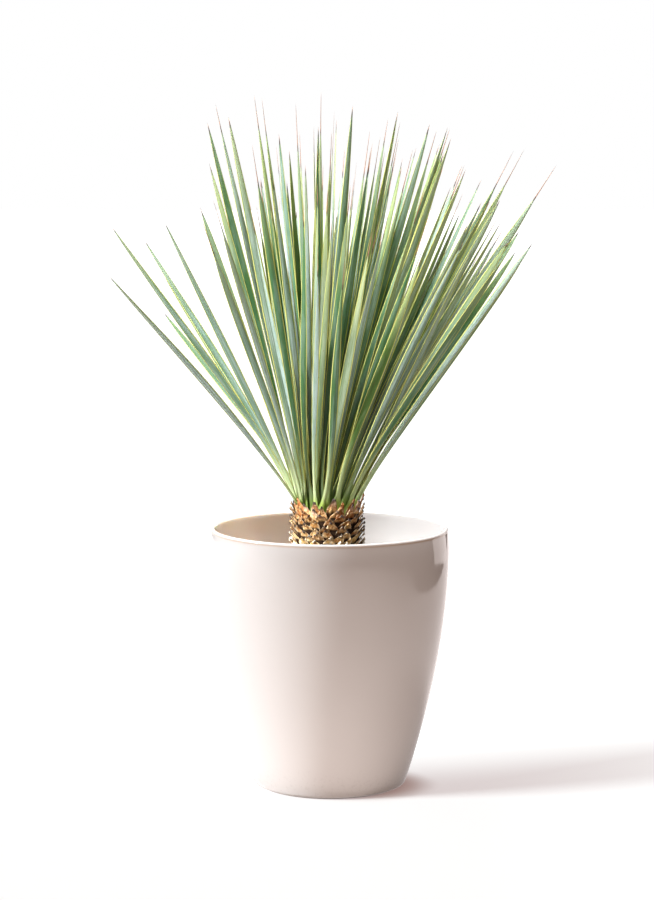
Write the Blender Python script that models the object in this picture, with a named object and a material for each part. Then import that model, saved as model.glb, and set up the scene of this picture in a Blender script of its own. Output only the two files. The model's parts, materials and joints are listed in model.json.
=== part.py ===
"""Beaked yucca in a tall turned pot, as one solid for each piece.

Metres, +Z up. The origin is the middle of the pot's underside. The plant's best side faces
-Y, with +X to the right of someone who looks at it.
"""

import math
import random

import bmesh
import bpy
from mathutils import Matrix, Vector

# Clearance between pieces that touch, and the angle from which an edge is sharp
GAP = 0.0003
SHARP_ANGLE = math.radians(35.0)

# Pot: a turned shell, widest a little below its lip
POT_HEIGHT = 0.307
BELLY_RADIUS = 0.1408
BELLY_HEIGHT = 0.280
RIM_RADIUS = 0.1388
TOE_RADIUS = 0.0891
BELLY_POWER = 1.78
WALL = 0.003
POT_FLOOR = 0.006
TOE_ROUND = 0.004
FOOT_RADIUS = 0.0845
FOOT_HEIGHT = 0.002
POT_SEGMENTS = 48
OUTSIDE_RINGS = 9
RINGS_IN_SOIL = 5
RINGS_OVER_SOIL = 3

# Soil: fills the pot to a slightly uneven top
SOIL_LEVEL = 0.245
SOIL_RIPPLE = 0.0015
RIPPLES_PER_METRE = 47.0
SOIL_SEGMENTS = 24
SOIL_RINGS = 4

# Trunk: a round core under the cut bases of old leaves
TRUNK_X = -0.003
TRUNK_RADIUS = 0.0375
TRUNK_FOOT = 0.190
TRUNK_TOP = 0.322
TRUNK_SEGMENTS = SOIL_SEGMENTS
SCALE_COUNT = 104
TOP_SCALES = 16
SCALE_SEED = 4100
SCALE_FIRST_TIP = 0.265
SCALE_LAST_TIP = 0.338
SCALE_LENGTH = 0.020
TOP_SCALE_LENGTH = 0.027
SCALE_SUNK = 0.0030
SCALE_TIP_RADIUS = 0.0450
SCALE_ROOT_WIDTH = 0.0165
SCALE_TIP_WIDTH = 0.0062
SCALE_ROOT_THICK = 0.0042
SCALE_TIP_THICK = 0.0014
SCALE_TURN_JITTER = 0.08
SCALE_TIP_JITTER = 0.0015
SCALE_SLANT = 0.0012

# Crown: a low dome that the leaves are rooted in
GOLDEN_ANGLE = math.radians(137.508)
SEAT = TRUNK_TOP + GAP
DOME_RADIUS = 0.0330
DOME_SIDE = 0.008
DOME_RISE = 0.030
DOME_SEGMENTS = 22
DOME_RINGS = 4
LEAF_RING_RADIUS = 0.0340
LEAF_RING_RISE = 0.005
LEAF_DOME_RISE = 0.029
LEAF_SUNK = 0.004

# Spiral of leaves: the head leans to +X, and older leaves lean further out of it
RULE_LEAVES = 108
LEAF_SEED = 7300
HEAD_LEAN = math.radians(9.0)
SIDE_SPREAD = math.radians(27.0)
BACK_SPREAD = math.radians(33.0)
INNER_LEAF = 0.455
OUTER_LEAF = 0.375
LENGTH_JITTER = 0.06
TURN_JITTER = 0.15
LEAST_SPREAD = 0.90
MOST_SPREAD = 1.04

# Course of a leaf: it rises steeply from its base, then arches outwards
FIRST_HANDLE = 0.12
UPRIGHT_START = 1.3
SECOND_HANDLE = 0.62
BOW = 0.03

# Blade: how far its broad side turns to the plant's best side, and its own twist, in radians
BEST_SIDE = Vector((0.0, -1.0, 0.0))
RULE_FACING = 0.8
EDGE_FACING = 0.85
FACING_DONE = 0.5
START_TWIST = 0.25
END_TWIST = 0.87
BLADE_WIDTH = 0.0110
LEAST_WIDTH = 0.78
MOST_WIDTH = 1.12
BLADE_THICK = 0.0020
KEEL_SHARE = 0.6

# How a blade's width and thickness run from its base, at 0, to the end of its spine, at 1
BLADE_OUTLINE = ((0.0, 0.86), (0.08, 0.56), (0.28, 0.57), (0.50, 0.85), (0.66, 1.0),
                 (0.78, 0.88), (0.88, 0.50), (0.95, 0.16), (1.0, 0.11))
BLADE_DEPTH = ((0.0, 1.7), (0.10, 1.45), (0.35, 1.0), (0.80, 0.75), (1.0, 0.50))
BLADE_STATIONS = (0.08, 0.30, 0.62, 0.85, 1.0)

# Tips of the stray leaves and of those that stand out round the head: across, back and up
STRAY_TIPS = (
    (-0.246, -0.14, 0.610), (-0.250, -0.05, 0.662), (-0.223, 0.10, 0.641),
    (-0.186, -0.10, 0.668), (-0.204, 0.16, 0.550), (-0.200, 0.12, 0.596),
)
EDGE_TIPS = (
    (-0.143, -0.14, 0.674), (-0.154, 0.06, 0.682), (-0.129, -0.16, 0.696),
    (-0.138, -0.05, 0.735), (-0.145, 0.06, 0.782), (-0.131, -0.04, 0.802),
    (-0.114, -0.10, 0.787), (-0.086, -0.15, 0.756), (-0.087, -0.03, 0.813),
    (-0.081, 0.08, 0.812), (-0.039, -0.05, 0.803), (-0.010, -0.05, 0.816),
    (0.026, -0.06, 0.800), (0.069, 0.06, 0.787), (0.078, -0.04, 0.794),
    (0.085, 0.12, 0.784), (0.136, -0.02, 0.776), (0.142, 0.06, 0.775),
    (0.136, -0.10, 0.763), (0.163, 0.12, 0.732), (0.210, -0.05, 0.749),
    (0.230, 0.05, 0.751), (0.262, -0.02, 0.733), (0.190, -0.12, 0.694),
    (0.232, 0.15, 0.651), (0.227, -0.12, 0.646), (0.222, -0.05, 0.626),
    (0.188, -0.17, 0.626), (0.195, -0.18, 0.649), (0.227, 0.14, 0.626),
)


def clear_scene():
    """Removes every object, so that the script can run again in an open file."""
    for thing in list(bpy.data.objects):
        bpy.data.objects.remove(thing, do_unlink=True)


def make_material(name, colour, roughness):
    """A plain Principled material for one piece."""
    material = bpy.data.materials.new(name)
    material.use_nodes = True
    shader = material.node_tree.nodes["Principled BSDF"]
    shader.inputs["Base Color"].default_value = (*colour, 1.0)
    shader.inputs["Roughness"].default_value = roughness
    shader.inputs["Metallic"].default_value = 0.0
    return material


def add_object(name, bm):
    """Turns a bmesh into an object of the scene."""
    mesh = bpy.data.meshes.new(name)
    bm.to_mesh(mesh)
    bm.free()
    thing = bpy.data.objects.new(name, mesh)
    bpy.context.scene.collection.objects.link(thing)
    return thing


def finish_node(thing, material):
    """Gives a node its material and its smooth shading."""
    thing.data.materials.clear()
    thing.data.materials.append(material)
    thing.data.shade_smooth()
    thing.data.set_sharp_from_angle(angle=SHARP_ANGLE)
    return thing


def turn_profile(profile, segments, middle=(0.0, 0.0)):
    """Spins a closed half outline of (radius, height) points about the upright axis."""
    bm = bmesh.new()
    points = [bm.verts.new((radius, 0.0, height)) for radius, height in profile]
    edges = [bm.edges.new(pair) for pair in zip(points, points[1:])]
    bmesh.ops.spin(bm, geom=points + edges, cent=(0, 0, 0), axis=(0, 0, 1),
                   angle=math.tau, steps=segments, use_merge=True)
    bmesh.ops.remove_doubles(bm, verts=bm.verts, dist=1e-6)
    bmesh.ops.recalc_face_normals(bm, faces=bm.faces)
    bmesh.ops.translate(bm, verts=bm.verts, vec=(*middle, 0.0))
    return bm


def along(table, share):
    """Reads a table of (place, value) pairs at a place between them."""
    for (low, low_value), (high, high_value) in zip(table, table[1:]):
        if share <= high:
            step = max(0.0, share - low) / (high - low)
            return low_value + step * (high_value - low_value)
    return table[-1][1]


def pot_radius(height):
    """The pot's outer radius at a height: a long swell below the belly, a short turn-in above."""
    if height < BELLY_HEIGHT:
        fall = (1.0 - height / BELLY_HEIGHT) ** BELLY_POWER
        return BELLY_RADIUS - (BELLY_RADIUS - TOE_RADIUS) * fall
    rise = (height - BELLY_HEIGHT) / (POT_HEIGHT - BELLY_HEIGHT)
    return BELLY_RADIUS - (BELLY_RADIUS - RIM_RADIUS) * rise ** 2


def even_heights(low, high, count):
    """Evenly spaced heights for the rings of a wall."""
    return [low + (high - low) * ring / (count - 1) for ring in range(count)]


def inside_wall():
    """The pot's inner wall from its floor up to the lip, with a ring at the soil's level."""
    heights = even_heights(POT_FLOOR + TOE_ROUND, SOIL_LEVEL, RINGS_IN_SOIL)
    heights += even_heights(SOIL_LEVEL, POT_HEIGHT - WALL / 2, RINGS_OVER_SOIL)[1:]
    return [(pot_radius(height) - WALL, height) for height in heights]


def build_pot():
    """The turned shell, drawn from the middle of its inside over the lip to its underside."""
    lip = WALL / 2
    toe = FOOT_HEIGHT + TOE_ROUND
    toe_radius = pot_radius(toe)
    profile = [(0.0, POT_FLOOR), (pot_radius(POT_FLOOR) - WALL - TOE_ROUND, POT_FLOOR)]
    profile += inside_wall()
    profile.append((RIM_RADIUS - lip, POT_HEIGHT))
    for height in reversed(even_heights(toe, POT_HEIGHT - lip, OUTSIDE_RINGS)):
        profile.append((pot_radius(height), height))
    for bend in (math.radians(45.0), math.radians(90.0)):
        profile.append((toe_radius - TOE_ROUND * (1.0 - math.cos(bend)),
                        toe - TOE_ROUND * math.sin(bend)))
    profile += [(FOOT_RADIUS, FOOT_HEIGHT), (FOOT_RADIUS, 0.0), (0.0, 0.0)]
    pot = add_object("pot", turn_profile(profile, POT_SEGMENTS))
    return finish_node(pot, make_material("pot_gloss", (0.81, 0.76, 0.74), 0.18))


def soil_ripple(x, y):
    """How far the loose soil stands above or below its level at a place."""
    return SOIL_RIPPLE * math.sin(RIPPLES_PER_METRE * x) * math.cos(RIPPLES_PER_METRE * y)


def build_soil():
    """Soil that fills the pot, with a plain hole for the foot of the trunk."""
    hole = TRUNK_RADIUS + GAP
    wall = pot_radius(SOIL_LEVEL) - WALL - GAP
    profile = [(0.0, POT_FLOOR + GAP),
               (pot_radius(POT_FLOOR) - WALL - TOE_ROUND - GAP, POT_FLOOR + GAP)]
    profile += [(radius - GAP, height) for radius, height in inside_wall()[:RINGS_IN_SOIL]]
    for ring in range(1, SOIL_RINGS + 1):
        profile.append((wall + (hole - wall) * ring / SOIL_RINGS, SOIL_LEVEL))
    profile += [(hole, TRUNK_FOOT - GAP), (0.0, TRUNK_FOOT - GAP)]
    bm = turn_profile(profile, SOIL_SEGMENTS)
    for vert in bm.verts:
        reach = math.hypot(vert.co.x, vert.co.y)
        if abs(vert.co.z - SOIL_LEVEL) < GAP and reach < wall - GAP:
            vert.co.z += soil_ripple(vert.co.x, vert.co.y)
        if reach < hole + GAP:
            vert.co.x += TRUNK_X
    soil = add_object("soil", bm)
    return finish_node(soil, make_material("potting_soil", (0.09, 0.055, 0.035), 0.95))


def make_loft(name, sections):
    """A closed solid through sections that all have the same number of corners."""
    bm = bmesh.new()
    loops = [[bm.verts.new(corner) for corner in section] for section in sections]
    for below, above in zip(loops, loops[1:]):
        for corner in range(len(below)):
            after = (corner + 1) % len(below)
            bm.faces.new((below[corner], below[after], above[after], above[corner]))
    bm.faces.new(loops[0])
    bm.faces.new(loops[-1])
    bmesh.ops.triangulate(bm, faces=bm.faces)
    bmesh.ops.recalc_face_normals(bm, faces=bm.faces)
    return add_object(name, bm)


def keep_main_shell(mesh):
    """Fills any hollow that joining has sealed and drops loose scraps."""
    bm = bmesh.new()
    bm.from_mesh(mesh)
    unseen = set(bm.verts)
    shells = []
    while unseen:
        shell = set()
        waiting = [unseen.pop()]
        while waiting:
            vert = waiting.pop()
            shell.add(vert)
            for edge in vert.link_edges:
                other = edge.other_vert(vert)
                if other in unseen:
                    unseen.discard(other)
                    waiting.append(other)
        shells.append(shell)
    shells.sort(key=len, reverse=True)
    loose = [vert for shell in shells[1:] for vert in shell]
    bmesh.ops.delete(bm, geom=loose, context="VERTS")
    bm.to_mesh(mesh)
    bm.free()


def join_repeats(core, repeats):
    """Unites the repeats with their core by one Boolean, applies it and removes them."""
    group = bpy.data.collections.new(core.name + "_repeats")
    bpy.context.scene.collection.children.link(group)
    for repeat in repeats:
        group.objects.link(repeat)
    join = core.modifiers.new("join", "BOOLEAN")
    join.operation = "UNION"
    join.operand_type = "COLLECTION"
    join.collection = group
    join.solver = "EXACT"
    graph = bpy.context.evaluated_depsgraph_get()
    joined = bpy.data.meshes.new_from_object(core.evaluated_get(graph))
    core.modifiers.remove(join)
    core.data = joined
    for repeat in repeats:
        bpy.data.objects.remove(repeat, do_unlink=True)
    bpy.data.collections.remove(group)
    keep_main_shell(joined)


def build_scale(number):
    """One cut leaf base: a plate that leaves the core and stands up and outwards."""
    draw = random.Random(SCALE_SEED + number)
    share = number / (SCALE_COUNT - 1)
    tip_height = SCALE_FIRST_TIP + share * (SCALE_LAST_TIP - SCALE_FIRST_TIP)
    turn = number * GOLDEN_ANGLE + draw.uniform(-SCALE_TURN_JITTER, SCALE_TURN_JITTER)
    out = Vector((math.cos(turn), math.sin(turn), 0.0))
    across = Vector((-math.sin(turn), math.cos(turn), 0.0))
    middle = Vector((TRUNK_X, 0.0, 0.0))
    root_radius = TRUNK_RADIUS - SCALE_SUNK
    tip_radius = SCALE_TIP_RADIUS - draw.uniform(0.0, SCALE_TIP_JITTER)
    length = TOP_SCALE_LENGTH if number >= SCALE_COUNT - TOP_SCALES else SCALE_LENGTH
    rise = math.sqrt(length ** 2 - (tip_radius - root_radius) ** 2)
    slant = draw.uniform(-SCALE_SLANT, SCALE_SLANT)
    root = middle + out * root_radius + Vector((0, 0, tip_height - rise))
    tip = middle + out * tip_radius + Vector((0, 0, tip_height))
    face = across.cross((tip - root).normalized())
    sections = []
    for place, width, thick, skew in ((root, SCALE_ROOT_WIDTH, SCALE_ROOT_THICK, 0.0),
                                      (tip, SCALE_TIP_WIDTH, SCALE_TIP_THICK, slant)):
        side = across * width / 2 + Vector((0, 0, skew))
        depth = face * thick / 2
        sections.append([place - side - depth, place + side - depth,
                         place + side + depth, place - side + depth])
    return make_loft(f"scale_{number:03d}", sections)


def build_trunk():
    """The trunk with the scales that cover it."""
    profile = [(0.0, TRUNK_TOP), (TRUNK_RADIUS, TRUNK_TOP), (TRUNK_RADIUS, TRUNK_FOOT),
               (0.0, TRUNK_FOOT)]
    core = add_object("trunk", turn_profile(profile, TRUNK_SEGMENTS, (TRUNK_X, 0.0)))
    join_repeats(core, [build_scale(number) for number in range(SCALE_COUNT)])
    return finish_node(core, make_material("old_leaf_bases", (0.45, 0.28, 0.13), 0.85))


def rule_leaf(number):
    """Turn, age from 0 to 1 and tip of one leaf of the spiral, the youngest first."""
    draw = random.Random(LEAF_SEED + number)
    age = math.sqrt((number + 0.5) / RULE_LEAVES)
    turn = number * GOLDEN_ANGLE + draw.uniform(-TURN_JITTER, TURN_JITTER)
    spread = age * draw.uniform(LEAST_SPREAD, MOST_SPREAD)
    side = math.tan(HEAD_LEAN + SIDE_SPREAD * spread * math.cos(turn))
    back = math.tan(BACK_SPREAD * spread * math.sin(turn))
    reach = INNER_LEAF + (OUTER_LEAF - INNER_LEAF) * age ** 2
    reach *= 1.0 + draw.uniform(-LENGTH_JITTER, LENGTH_JITTER)
    tip = Vector((TRUNK_X, 0.0, TRUNK_TOP)) + Vector((side, back, 1.0)).normalized() * reach
    return turn, age, tip, draw.uniform(0.0, RULE_FACING)


def edge_leaf(tip):
    """The same for a leaf whose tip is given, from how far it leans out of the head."""
    offset = Vector(tip) - Vector((TRUNK_X, 0.0, TRUNK_TOP))
    side = (math.atan2(offset.x, offset.z) - HEAD_LEAN) / SIDE_SPREAD
    back = math.atan2(offset.y, offset.z) / BACK_SPREAD
    return math.atan2(back, side), min(1.0, math.hypot(side, back)), Vector(tip), EDGE_FACING


def leaf_course(turn, age, tip):
    """The four points of the curve that a leaf's middle line follows."""
    radius = LEAF_RING_RADIUS * age
    rise = LEAF_RING_RISE + LEAF_DOME_RISE * math.sqrt(1.0 - age ** 2)
    base = Vector((TRUNK_X + radius * math.cos(turn), radius * math.sin(turn),
                   SEAT + rise))
    chord = tip - base
    length = chord.length
    chord.normalize()
    upright = (chord + Vector((0, 0, UPRIGHT_START))).normalized()
    lean = math.hypot(chord.x, chord.y)
    first = base + upright * FIRST_HANDLE * length
    second = base + chord * SECOND_HANDLE * length + Vector((0, 0, BOW * lean * length))
    return base, first, second, tip


def course_point(course, share):
    """A point of the leaf's curve."""
    rest = 1.0 - share
    base, first, second, tip = course
    return (base * rest ** 3 + first * 3 * share * rest ** 2
            + second * 3 * share ** 2 * rest + tip * share ** 3)


def blade_face(course, turn, facing, share):
    """The direction ahead along a blade, and the way its outer face looks there.

    The face starts outwards from the trunk and turns, by the share called facing, so that the
    broad side shows from the plant's best side.
    """
    ahead = course_point(course, share + 0.01) - course_point(course, share - 0.01)
    ahead.normalize()
    out = Vector((math.cos(turn), math.sin(turn), 0.0))
    out = (out - ahead * out.dot(ahead)).normalized()
    best = (BEST_SIDE - ahead * BEST_SIDE.dot(ahead)).normalized()
    angle = math.atan2(out.cross(best).dot(ahead), out.dot(best))
    angle = math.remainder(angle, math.pi)
    angle *= facing * math.sin(math.pi / 2 * min(1.0, share / FACING_DONE))
    return ahead, Matrix.Rotation(angle, 3, ahead) @ out


def build_leaf(number, turn, age, tip, facing):
    """One stiff blade: flat inside, with a keel outside, and drawn out to a spine."""
    draw = random.Random(LEAF_SEED * 2 + number)
    width = BLADE_WIDTH * draw.uniform(LEAST_WIDTH, MOST_WIDTH)
    start_twist = draw.uniform(-START_TWIST, START_TWIST)
    twist = draw.uniform(-END_TWIST, END_TWIST)
    course = leaf_course(turn, age, tip)
    sections = []
    for share in (0.0,) + BLADE_STATIONS:
        place = course_point(course, share)
        ahead, face = blade_face(course, turn, facing, share)
        if share == 0.0:
            place -= ahead * LEAF_SUNK
        face = Matrix.Rotation(start_twist + twist * share, 3, ahead) @ face
        side = ahead.cross(face) * width * along(BLADE_OUTLINE, share) / 2
        depth = face * BLADE_THICK * along(BLADE_DEPTH, share)
        back = place - depth * (1.0 - KEEL_SHARE)
        sections.append([back - side, back + side, place + depth * KEEL_SHARE])
    return make_loft(f"leaf_{number:03d}", sections)


def build_crown():
    """The head: a low dome with every leaf of the spiral and of the edge rooted in it."""
    profile = [(0.0, SEAT + DOME_SIDE + DOME_RISE)]
    for ring in range(1, DOME_RINGS + 1):
        bend = math.pi / 2 * ring / DOME_RINGS
        profile.append((DOME_RADIUS * math.sin(bend),
                        SEAT + DOME_SIDE + DOME_RISE * math.cos(bend)))
    profile += [(DOME_RADIUS, SEAT), (0.0, SEAT)]
    core = add_object("crown", turn_profile(profile, DOME_SEGMENTS, (TRUNK_X, 0.0)))
    leaves = [rule_leaf(number) for number in range(RULE_LEAVES)]
    leaves += [edge_leaf(tip) for tip in STRAY_TIPS + EDGE_TIPS]
    join_repeats(core, [build_leaf(number, *leaf) for number, leaf in enumerate(leaves)])
    return finish_node(core, make_material("leaf_green", (0.28, 0.42, 0.28), 0.45))


def main():
    """Builds the four pieces."""
    clear_scene()
    build_pot()
    build_soil()
    build_trunk()
    build_crown()


main()
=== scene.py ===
# %% [markdown]
# # A beaked yucca in a tall glossy pot
#
# The plain solids of this plant come from a separate model: a pot, its soil, a short trunk and a
# crown of stiff leaves. In this lesson they get their looks. We set up a camera and light first,
# then turn a finer pot, lay the soil, cover the trunk with the cut bases of old leaves, and grow
# the crown leaf by leaf.

# %% Load the plain solids
import json
import math
import random

import bmesh
import bpy
from mathutils import Matrix, Vector, noise

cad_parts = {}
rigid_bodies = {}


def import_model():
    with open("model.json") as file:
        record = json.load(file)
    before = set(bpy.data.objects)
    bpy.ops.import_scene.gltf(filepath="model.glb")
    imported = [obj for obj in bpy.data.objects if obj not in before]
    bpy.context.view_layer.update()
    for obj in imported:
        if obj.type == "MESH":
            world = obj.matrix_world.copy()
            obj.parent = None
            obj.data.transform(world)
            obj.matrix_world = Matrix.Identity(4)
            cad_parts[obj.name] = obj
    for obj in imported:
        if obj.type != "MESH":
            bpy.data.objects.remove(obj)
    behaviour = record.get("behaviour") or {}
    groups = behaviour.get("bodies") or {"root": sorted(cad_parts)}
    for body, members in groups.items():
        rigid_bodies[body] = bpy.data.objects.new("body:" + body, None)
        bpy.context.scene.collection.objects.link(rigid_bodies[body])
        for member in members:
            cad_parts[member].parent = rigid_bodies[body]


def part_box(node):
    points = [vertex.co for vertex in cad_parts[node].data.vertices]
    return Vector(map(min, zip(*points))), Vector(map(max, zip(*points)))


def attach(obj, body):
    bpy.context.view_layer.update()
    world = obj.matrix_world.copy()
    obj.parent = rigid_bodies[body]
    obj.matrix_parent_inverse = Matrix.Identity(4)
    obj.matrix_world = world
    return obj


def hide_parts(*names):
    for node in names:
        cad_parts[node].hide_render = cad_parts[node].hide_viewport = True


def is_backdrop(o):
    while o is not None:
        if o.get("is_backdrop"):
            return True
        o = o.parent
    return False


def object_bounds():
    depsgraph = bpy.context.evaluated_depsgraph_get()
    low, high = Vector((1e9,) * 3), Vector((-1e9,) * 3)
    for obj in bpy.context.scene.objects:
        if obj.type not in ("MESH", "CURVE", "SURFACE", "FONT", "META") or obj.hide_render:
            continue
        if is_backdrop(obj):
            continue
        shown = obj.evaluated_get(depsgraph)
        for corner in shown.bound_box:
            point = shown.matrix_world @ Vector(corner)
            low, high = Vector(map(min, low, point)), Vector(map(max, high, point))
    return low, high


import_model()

solid_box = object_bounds()
for name in ("pot", "soil", "trunk", "crown"):
    low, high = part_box(name)
    print(f"{name}: from {low[2] * 1000:.0f} to {high[2] * 1000:.0f} mm above the floor")

# %% [markdown]
# ## The camera
#
# The photograph was taken from a little above the pot's rim, with a long lens that keeps the
# upright lines straight. The rim's ellipse tells how far above: it is 237 pixels wide and 35 high,
# which a camera three metres away and 0.75 m up sees. We tilt it down by 6.64 degrees and choose
# the focal length so that 2566 pixels stand for one unit of slope in a picture 900 pixels high.

# %% Place the camera
PICTURE_HEIGHT = 900
PIXELS_PER_SLOPE = 2566
SENSOR = 36.0

scene = bpy.context.scene
camera_data = bpy.data.cameras.new("photo_camera")
camera_data.sensor_fit = "VERTICAL"
camera_data.sensor_height = SENSOR
camera_data.lens = PIXELS_PER_SLOPE / PICTURE_HEIGHT * SENSOR
camera = bpy.data.objects.new("photo_camera", camera_data)
camera.location = (-0.0033, -3.0, 0.748)
camera.rotation_euler = (math.radians(90.0 - 6.64), 0.0, 0.0)
scene.collection.objects.link(camera)
scene.camera = camera
print(f"lens: {camera_data.lens:.1f} mm")

# %% [markdown]
# ## A helper for materials
#
# Every finish below is a small network of nodes around one Principled shader. Writing each node by
# hand takes five lines, so a small class gives the common ones short names. It hides nothing: each
# method adds the node that its name says.

# %% Short names for shader nodes
class Finish:
    """A node material with one Principled shader."""

    def __init__(self, name, roughness=0.5, specular=0.5):
        self.material = bpy.data.materials.new(name)
        self.material.use_nodes = True
        self.tree = self.material.node_tree
        self.shader = self.tree.nodes["Principled BSDF"]
        self.shader.inputs["Roughness"].default_value = roughness
        self.shader.inputs["Specular IOR Level"].default_value = specular

    def feed(self, socket, value):
        """Links a socket to another, or sets it to a plain value."""
        if isinstance(value, bpy.types.NodeSocket):
            self.tree.links.new(value, socket)
        elif isinstance(value, tuple) and len(value) == 3 and socket.type == "RGBA":
            socket.default_value = (*value, 1.0)
        else:
            socket.default_value = value

    def add(self, kind, *inputs, **settings):
        """Adds a node, with its settings and its first inputs."""
        node = self.tree.nodes.new("ShaderNode" + kind)
        for name, value in settings.items():
            setattr(node, name, value)
        for socket, value in zip(node.inputs, inputs):
            self.feed(socket, value)
        return node

    def number(self, label):
        """A number that the mesh carries on each point."""
        return self.add("Attribute", attribute_name=label).outputs["Fac"]

    def place(self):
        """The place on the piece, in metres."""
        return self.add("TexCoord").outputs["Object"]

    def vector(self, x, y, z):
        return self.add("CombineXYZ", x, y, z).outputs[0]

    def math(self, operation, first, second=0.0):
        return self.add("Math", first, second, operation=operation).outputs[0]

    def noise(self, place, scale, detail=3.0, roughness=0.55):
        """Cloudy noise from 0 to 1, mostly near 0.5."""
        node = self.add("TexNoise")
        for label, value in (("Vector", place), ("Scale", scale), ("Detail", detail),
                             ("Roughness", roughness)):
            self.feed(node.inputs[label], value)
        return node.outputs["Fac"]

    def span(self, value, low, high, to_low=0.0, to_high=1.0):
        """Maps low..high to new ends, eased and held beyond them."""
        node = self.add("MapRange", value, low, high, to_low, to_high,
                        interpolation_type="SMOOTHSTEP")
        return node.outputs[0]

    def mix(self, share, first, second, blend="MIX"):
        """Mixes two colours."""
        node = self.add("Mix", data_type="RGBA", blend_type=blend)
        self.feed(node.inputs[0], share)
        self.feed(node.inputs[6], first)
        self.feed(node.inputs[7], second)
        return node.outputs[2]

    def colour(self, value):
        self.feed(self.shader.inputs["Base Color"], value)

    def roughness(self, value):
        self.feed(self.shader.inputs["Roughness"], value)

    def bump(self, height, distance, strength=1.0):
        """Turns a height from 0 to 1 into relief of that many metres."""
        node = self.add("Bump")
        self.feed(node.inputs["Strength"], strength)
        self.feed(node.inputs["Distance"], distance)
        self.feed(node.inputs["Height"], height)
        self.tree.links.new(node.outputs[0], self.shader.inputs["Normal"])


def add_piece(name, points, faces, material, numbers=None):
    """Makes a smooth mesh piece, with numbers on its points for the material to read."""
    mesh = bpy.data.meshes.new(name)
    mesh.from_pydata(points, [], faces)
    mesh.shade_smooth()
    for label, values in (numbers or {}).items():
        layer = mesh.attributes.new(label, "FLOAT", "POINT")
        layer.data.foreach_set("value", values)
    mesh.materials.append(material)
    piece = bpy.data.objects.new(name, mesh)
    scene.collection.objects.link(piece)
    return piece


def along(table, share):
    """Reads a table of (place, value) pairs at a place between them."""
    for (low, low_value), (high, high_value) in zip(table, table[1:]):
        if share <= high:
            step = max(0.0, share - low) / (high - low)
            return low_value + step * (high_value - low_value)
    return table[-1][1]

# %% [markdown]
# ## Floor, daylight and sun
#
# The photograph was taken on a white sweep with one lamp low on the left: the pot's left side runs
# out into white, its front turns warm grey, and a soft band of shadow lies to the right.
#
# A sun lamp gives that one direction. Its angle sets how soft the shadow's edge is. The world
# around gives the warm fill light. What the camera sees of the world is plain white, so a Light
# Path node picks one of two backgrounds. The floor does the same: it catches the shadow as a mid
# grey and adds white for the camera, as a sweep lit from behind would. That white is painted weaker
# and pinker along the shadow's band as painted shade, and weakest beside the pot's foot as a painted
# contact shadow. For light bounced onto the pot, a patch of floor in front on the left has a painted
# glow, and the gloss sees a painted reflection of a bright table and panel, with painted shade near
# the foot.

# %% Build the floor and the light
FLOOR_SIZE = 60.0
SUN_HEIGHT = math.radians(30.0)
SUN_AZIMUTH = math.radians(-84.0)
SUN_STRENGTH = 3.85
SUN_ANGLE = math.radians(13.0)
FLOOR_SUN_AZIMUTH = math.radians(-73.0)
FLOOR_SUN_HEIGHT = math.radians(21.0)
FLOOR_SUN_STRENGTH = 6.2
FRONT_FILL = (0.170, 0.108, 0.077)
BACK_FILL = (0.45, 0.395, 0.385)
GLOW_PLACE = (-0.10, -0.40, 0.0)
GLOW_REACH = 0.24
GLOW_FADE = 0.46
GLOW = 0.92
TABLE_SIDE = 1.0
TABLE_FRONT = -0.8
TABLE_BACK = 2.3
TABLE_SHINE = 1.4
FOOT_SHADE = (0.20, 0.03, 0.0)
PANEL_START = 1.58
PANEL_SIDE = (-0.44, 0.898, 0.0)
PANEL_END = (0.872, -0.490, 0.0)
PANEL_SHINE = 1.7
SHADE_SIDE = (-0.292, 0.956, 0.0)
CONTACT_PLACE = (0.042, -0.014, 0.0)


def camera_only(tree, seen, unseen):
    """Gives the camera one shader and all other rays another."""
    path = tree.nodes.new("ShaderNodeLightPath")
    pick = tree.nodes.new("ShaderNodeMixShader")
    tree.links.new(path.outputs["Is Camera Ray"], pick.inputs[0])
    tree.links.new(unseen, pick.inputs[1])
    tree.links.new(seen, pick.inputs[2])
    return pick.outputs[0]


def light_world():
    """White for the camera and a warm fill for everything else."""
    world = bpy.data.worlds.new("studio")
    scene.world = world
    world.use_nodes = True
    tree = world.node_tree
    fill = tree.nodes["Background"]
    place = tree.nodes.new("ShaderNodeTexCoord")
    parts = tree.nodes.new("ShaderNodeSeparateXYZ")
    tree.links.new(place.outputs["Generated"], parts.inputs[0])
    back = tree.nodes.new("ShaderNodeMapRange")
    back.inputs["From Min"].default_value = -0.1
    back.inputs["From Max"].default_value = 0.3
    tree.links.new(parts.outputs["Y"], back.inputs["Value"])
    both = tree.nodes.new("ShaderNodeMix")
    both.data_type = "RGBA"
    both.inputs[6].default_value = (*FRONT_FILL, 1.0)
    both.inputs[7].default_value = (*BACK_FILL, 1.0)
    tree.links.new(back.outputs[0], both.inputs[0])
    tree.links.new(both.outputs[2], fill.inputs["Color"])
    white = tree.nodes.new("ShaderNodeBackground")
    white.inputs["Color"].default_value = (1.0, 1.0, 1.0, 1.0)
    out = tree.nodes["World Output"]
    tree.links.new(camera_only(tree, white.outputs[0], fill.outputs[0]), out.inputs["Surface"])


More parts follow.
